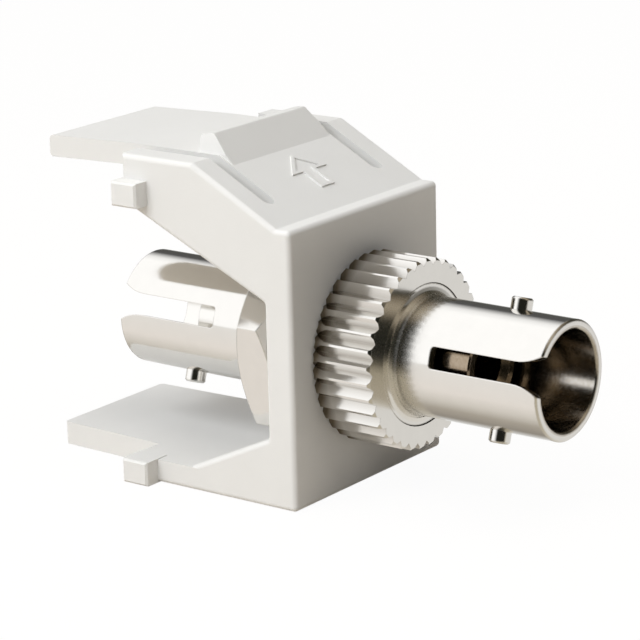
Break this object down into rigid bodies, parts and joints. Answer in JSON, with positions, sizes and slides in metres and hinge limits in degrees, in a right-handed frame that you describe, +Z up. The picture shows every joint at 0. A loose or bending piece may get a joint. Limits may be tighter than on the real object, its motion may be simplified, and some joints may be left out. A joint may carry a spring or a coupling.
{
  "type": "snap-in fibre coupler",
  "caption": "Straight-through bayonet fibre coupler held in a moulded snap-in wall-plate housing by a knurled nut.",
  "frame": {"origin": "on the fibre axis, in the outer face of the front plate", "axes": "+Y from the room side towards the cabling side, along the fibre axis; +Z up, towards the latch arm; +X to the right seen from the front"},
  "size_m": [0.0166, 0.0333, 0.0206],
  "materials": {
    "moulding": "fine matte",
    "nickel": "bright nickel plating",
    "sleeve": "plain spring bronze"
  },
  "bodies": {
    "coupler": {"keystone_housing": "moulding", "adapter_body": "nickel", "rear_barrel": "nickel", "front_sleeve_holder": "nickel", "rear_sleeve_holder": "nickel", "alignment_sleeve": "sleeve", "front_upper_pin": "nickel", "front_lower_pin": "nickel", "rear_upper_pin": "nickel", "rear_lower_pin": "nickel"},
    "nut": {"knurled_nut": "nickel"}
  },
  "joints": [
    {"name": "nut_turn", "type": "hinge", "parent": "coupler", "child": "nut", "pos_m": [0, 0, 0], "axis": [0, -1, 0], "range_deg": [0, 1800]}
  ]
}
